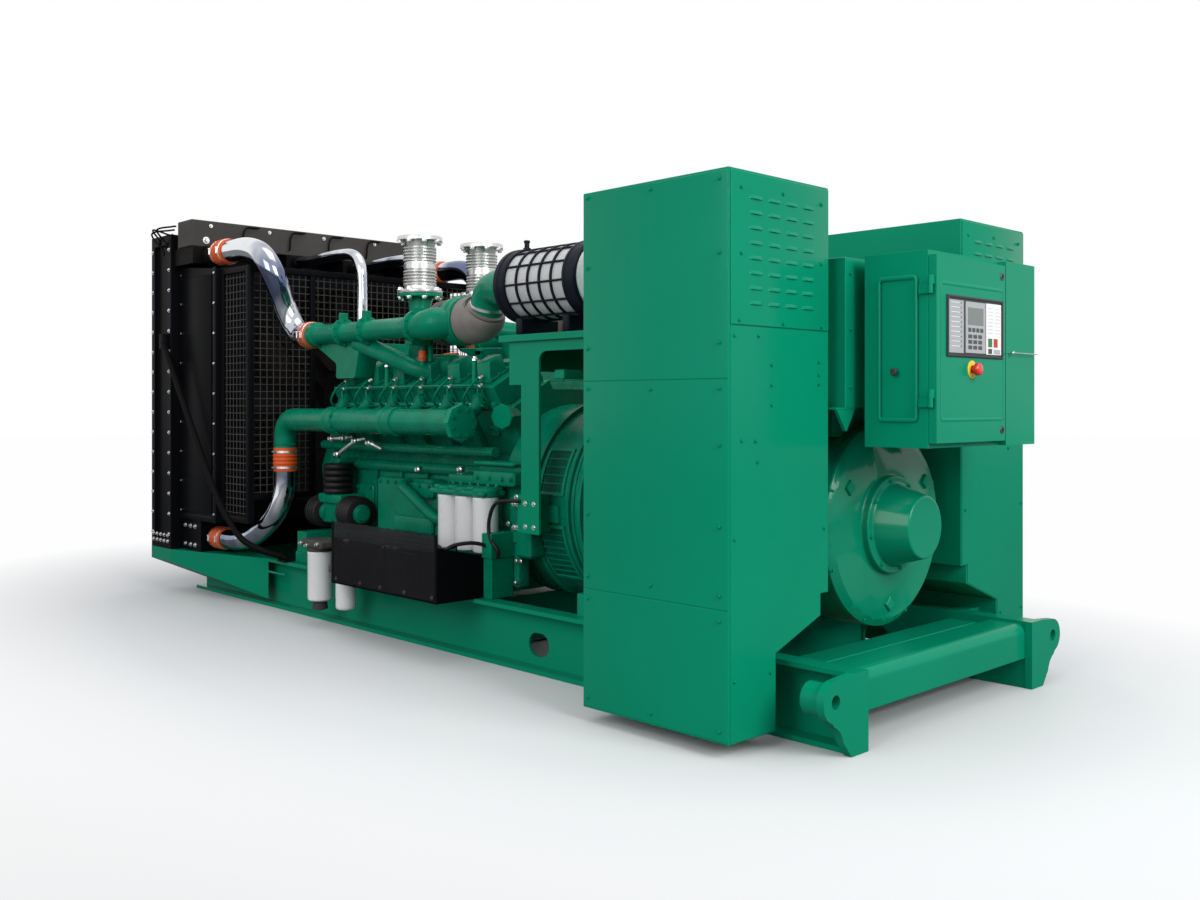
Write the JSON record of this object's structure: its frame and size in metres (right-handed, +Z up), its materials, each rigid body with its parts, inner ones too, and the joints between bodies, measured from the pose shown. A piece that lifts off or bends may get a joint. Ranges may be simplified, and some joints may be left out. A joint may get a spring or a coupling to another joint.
{
  "type": "standby generator set",
  "caption": "Open standby generator set: radiator, vee engine, alternator, power cabinets and control box on a steel skid.",
  "frame": {"origin": "centre of the footprint box at floor level, under the skid", "axes": "+X from the radiator end to the control box end, +Z up, +Y across the set"},
  "size_m": [5.05, 2, 2.207],
  "materials": {
    "green_paint": "gloss",
    "black_paint": "semi-gloss",
    "core_fins": "matte fins",
    "bright_pipe": "bright",
    "bellows_steel": "satin",
    "orange_hose": "silicone sheen",
    "turbo_iron": "bare casting",
    "filter_paint": "gloss",
    "cleaner_media": "perforated sheet",
    "battery_case": "matte",
    "panel_black": "matte",
    "stop_red": "gloss"
  },
  "bodies": {
    "genset": {"skid_rails": "green_paint", "skid_cross_members": "green_paint", "skid_end_beam": "green_paint", "lifting_lugs": "green_paint", "radiator_outriggers": "green_paint", "radiator_frame": "black_paint", "radiator_core": "core_fins", "radiator_top_tank": "black_paint", "radiator_bottom_tank": "black_paint", "radiator_pipe_ports": "black_paint", "fan_shroud": "black_paint", "fan_guard_sides": "black_paint", "fan_guard_back": "black_paint", "fan": "black_paint", "radiator_braces": "black_paint", "engine_block": "green_paint", "oil_pan": "green_paint", "front_gear_cover": "green_paint", "accessory_drive": "black_paint", "cylinder_heads": "green_paint", "rocker_covers": "green_paint", "coolant_manifolds": "green_paint", "coolant_pipes": "bright_pipe", "charge_air_ducts": "green_paint", "charge_air_pipes": "bright_pipe", "thermostat_pipes": "bright_pipe", "thermostat_housing": "green_paint", "hose_couplings": "orange_hose", "turbochargers": "turbo_iron", "exhaust_elbows": "green_paint", "exhaust_bellows": "bellows_steel", "air_cleaners": "cleaner_media", "air_cleaner_shelf": "green_paint", "flywheel_housing": "green_paint", "oil_filters": "filter_paint", "fuel_filter": "filter_paint", "battery_tray": "black_paint", "batteries": "battery_case", "engine_mounts": "green_paint", "alternator_adaptor": "green_paint", "alternator_body": "green_paint", "alternator_end_cover": "green_paint", "terminal_box": "green_paint", "power_cabinet_left": "green_paint", "power_cabinet_right": "green_paint", "cabinet_louvre_panels": "green_paint", "control_box": "green_paint"},
    "control_door": {"control_door": "green_paint", "control_panel": "panel_black"},
    "stop_button": {"stop_button": "stop_red"}
  },
  "joints": [
    {"name": "control_door_hinge", "type": "hinge", "parent": "genset", "child": "control_door", "pos_m": [2.475, -0.3665, 1.3], "axis": [0, 0, -1], "range_deg": [0, 115]},
    {"name": "stop_button_push", "type": "slide", "parent": "control_door", "child": "stop_button", "axis": [-1, 0, 0], "range_m": [0, 0.006]}
  ]
}
